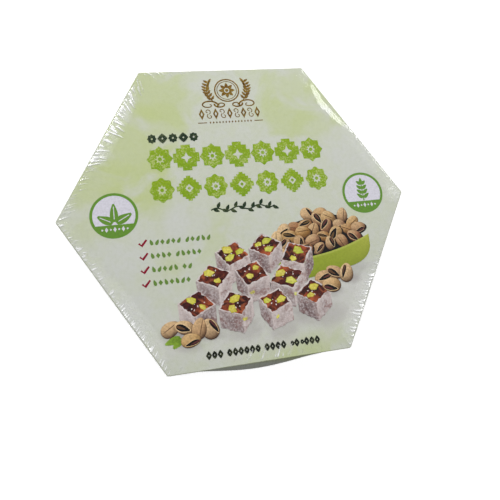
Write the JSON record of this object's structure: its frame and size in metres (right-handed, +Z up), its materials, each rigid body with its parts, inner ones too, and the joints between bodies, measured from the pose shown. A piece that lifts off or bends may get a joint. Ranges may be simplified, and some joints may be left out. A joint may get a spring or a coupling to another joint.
{
  "type": "hexagonal sweets carton",
  "caption": "Shut hexagonal card carton of cubed nut jelly sweets, wrapped in clear shrink film, printed lid up; it lies flat on its underside.",
  "frame": {"origin": "middle of the carton's hexagon on the film's underside, where it rests", "axes": "+X from corner to corner, to the right of the lid's print; +Y towards the top of the print, so -Y faces the front wall; +Z up out of the printed lid"},
  "size_m": [0.1608, 0.1438, 0.0312],
  "materials": {
    "printed_card": "satin print, pale green wash",
    "plain_card": "matt unprinted card",
    "clear_film": "glossy clear shrink film"
  },
  "bodies": {
    "root": {"carton_lid": "printed_card", "carton_base": "plain_card", "shrink_film": "clear_film"}
  },
  "joints": []
}
